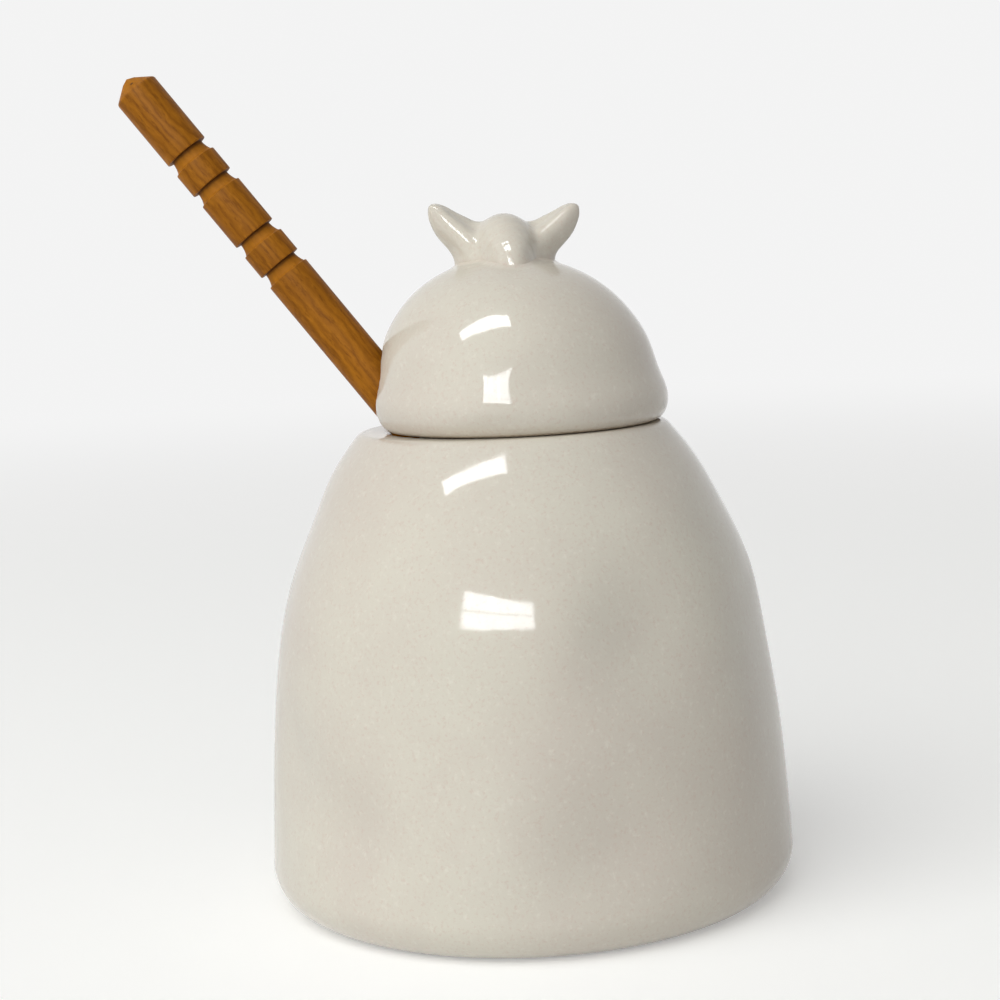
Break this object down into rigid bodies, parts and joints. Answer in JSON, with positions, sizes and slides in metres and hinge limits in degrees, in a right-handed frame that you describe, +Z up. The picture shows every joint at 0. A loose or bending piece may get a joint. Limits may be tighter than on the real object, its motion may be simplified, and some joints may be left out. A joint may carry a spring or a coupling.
{
  "type": "honey pot",
  "caption": "Hive-shaped glazed honey pot with a lift-off domed lid, a bee finial and a grooved wooden dipper leaning out through a notch in the lid.",
  "frame": {"origin": "on the table, under the middle of the pot's foot ring", "axes": "+Z up; -Y is the front, where the bee's tail points; the dipper leans out towards -X"},
  "size_m": [0.1246, 0.104, 0.1629],
  "materials": {
    "glaze": "gloss",
    "lid_glaze": "gloss",
    "bee_glaze": "gloss",
    "handle_wood": "satin",
    "head_wood": "satin"
  },
  "bodies": {
    "pot": {"pot": "glaze"},
    "lid": {"lid": "lid_glaze", "bee_finial": "bee_glaze"},
    "dipper": {"dipper_handle": "handle_wood", "dipper_head": "head_wood"}
  },
  "joints": [
    {"name": "lid_lift", "type": "slide", "parent": "pot", "child": "lid", "axis": [0, 0, 1], "range_m": [0, 0.08]},
    {"name": "dipper_slide", "type": "slide", "parent": "pot", "child": "dipper", "axis": [-0.5962, 0, 0.8028], "range_m": [0, 0.04]}
  ]
}
